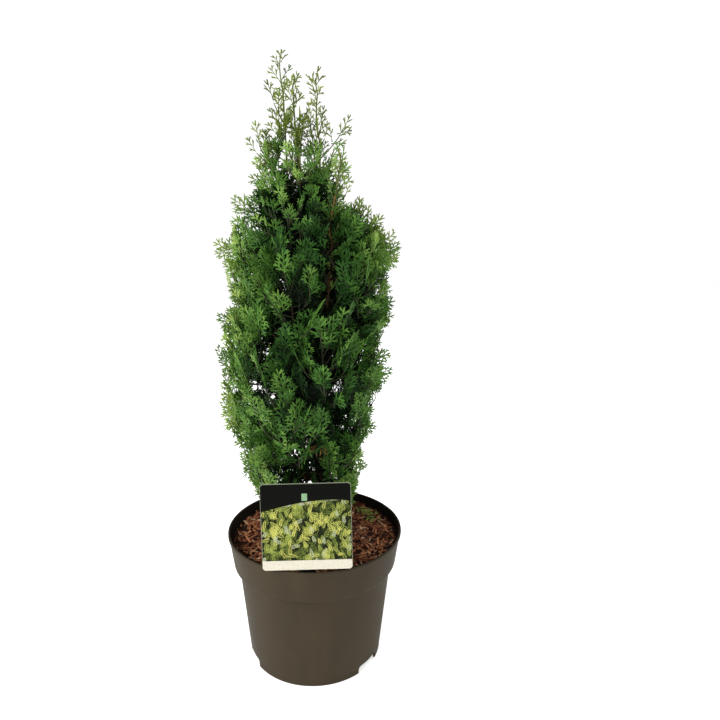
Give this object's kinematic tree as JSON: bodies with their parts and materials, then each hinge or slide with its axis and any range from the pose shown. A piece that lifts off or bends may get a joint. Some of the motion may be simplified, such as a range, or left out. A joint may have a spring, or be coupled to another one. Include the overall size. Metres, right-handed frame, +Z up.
{
  "type": "potted thuja",
  "caption": "Young upright thuja with dense flat sprays of scale leaves in a round stepped nursery pot, with bark mulch over its root ball and a blank plant card at the front.",
  "frame": {"origin": "under the middle of the pot, on the surface that it stands on; the crown reaches a little further to -X than the pot does to +X", "axes": "+Z up along the pot's axis and the plant, -Y is the front, where the plant card stands, +X to the viewer's right"},
  "size_m": [0.2603, 0.2552, 0.845],
  "materials": {
    "pot_plastic": "satin grey-brown moulded plastic",
    "potting_soil": "dark moist potting compost",
    "bark_mulch": "rough red-brown bark chips",
    "label_card": "printed plastic card",
    "thuja_bark": "fibrous red-brown bark",
    "foliage_dark": "scale-leaf sprays, deep green",
    "foliage_fresh": "scale-leaf sprays, fresh green"
  },
  "bodies": {
    "root": {"bark_mulch": "bark_mulch", "bough_1_a": "thuja_bark", "bough_1_b": "thuja_bark", "bough_1_c": "thuja_bark", "bough_2_a": "thuja_bark", "bough_2_b": "thuja_bark", "bough_2_c": "thuja_bark", "bough_2_d": "thuja_bark", "bough_3_a": "thuja_bark", "bough_3_b": "thuja_bark", "bough_3_c": "thuja_bark", "bough_3_d": "thuja_bark", "bough_3_e": "thuja_bark", "bough_4_a": "thuja_bark", "bough_4_b": "thuja_bark", "bough_4_c": "thuja_bark", "bough_4_d": "thuja_bark", "bough_4_e": "thuja_bark", "bough_5_a": "thuja_bark", "bough_5_b": "thuja_bark", "bough_5_c": "thuja_bark", "bough_6_a": "thuja_bark", "bough_6_b": "thuja_bark", "bough_6_c": "thuja_bark", "leader_front": "thuja_bark", "leader_left": "thuja_bark", "leader_right": "thuja_bark", "mass_1_a": "foliage_dark", "mass_1_b": "foliage_dark", "mass_1_c": "foliage_dark", "mass_2_a": "foliage_dark", "mass_2_b": "foliage_dark", "mass_2_c": "foliage_dark", "mass_2_d": "foliage_dark", "mass_3_a": "foliage_dark", "mass_3_b": "foliage_dark", "mass_3_c": "foliage_dark", "mass_3_d": "foliage_dark", "mass_3_e": "foliage_dark", "mass_4_a": "foliage_dark", "mass_4_b": "foliage_dark", "mass_4_c": "foliage_dark", "mass_4_d": "foliage_dark", "mass_4_e": "foliage_dark", "mass_5_a": "foliage_dark", "mass_5_b": "foliage_dark", "mass_5_c": "foliage_dark", "mass_6_a": "foliage_dark", "mass_6_b": "foliage_dark", "mass_6_c": "foliage_dark", "mass_front": "foliage_fresh", "mass_top_left": "foliage_fresh", "mass_top_middle": "foliage_fresh", "mass_top_right": "foliage_fresh", "plant_label": "label_card", "pot": "pot_plastic", "root_ball": "potting_soil", "trunk": "thuja_bark"}
  },
  "joints": []
}
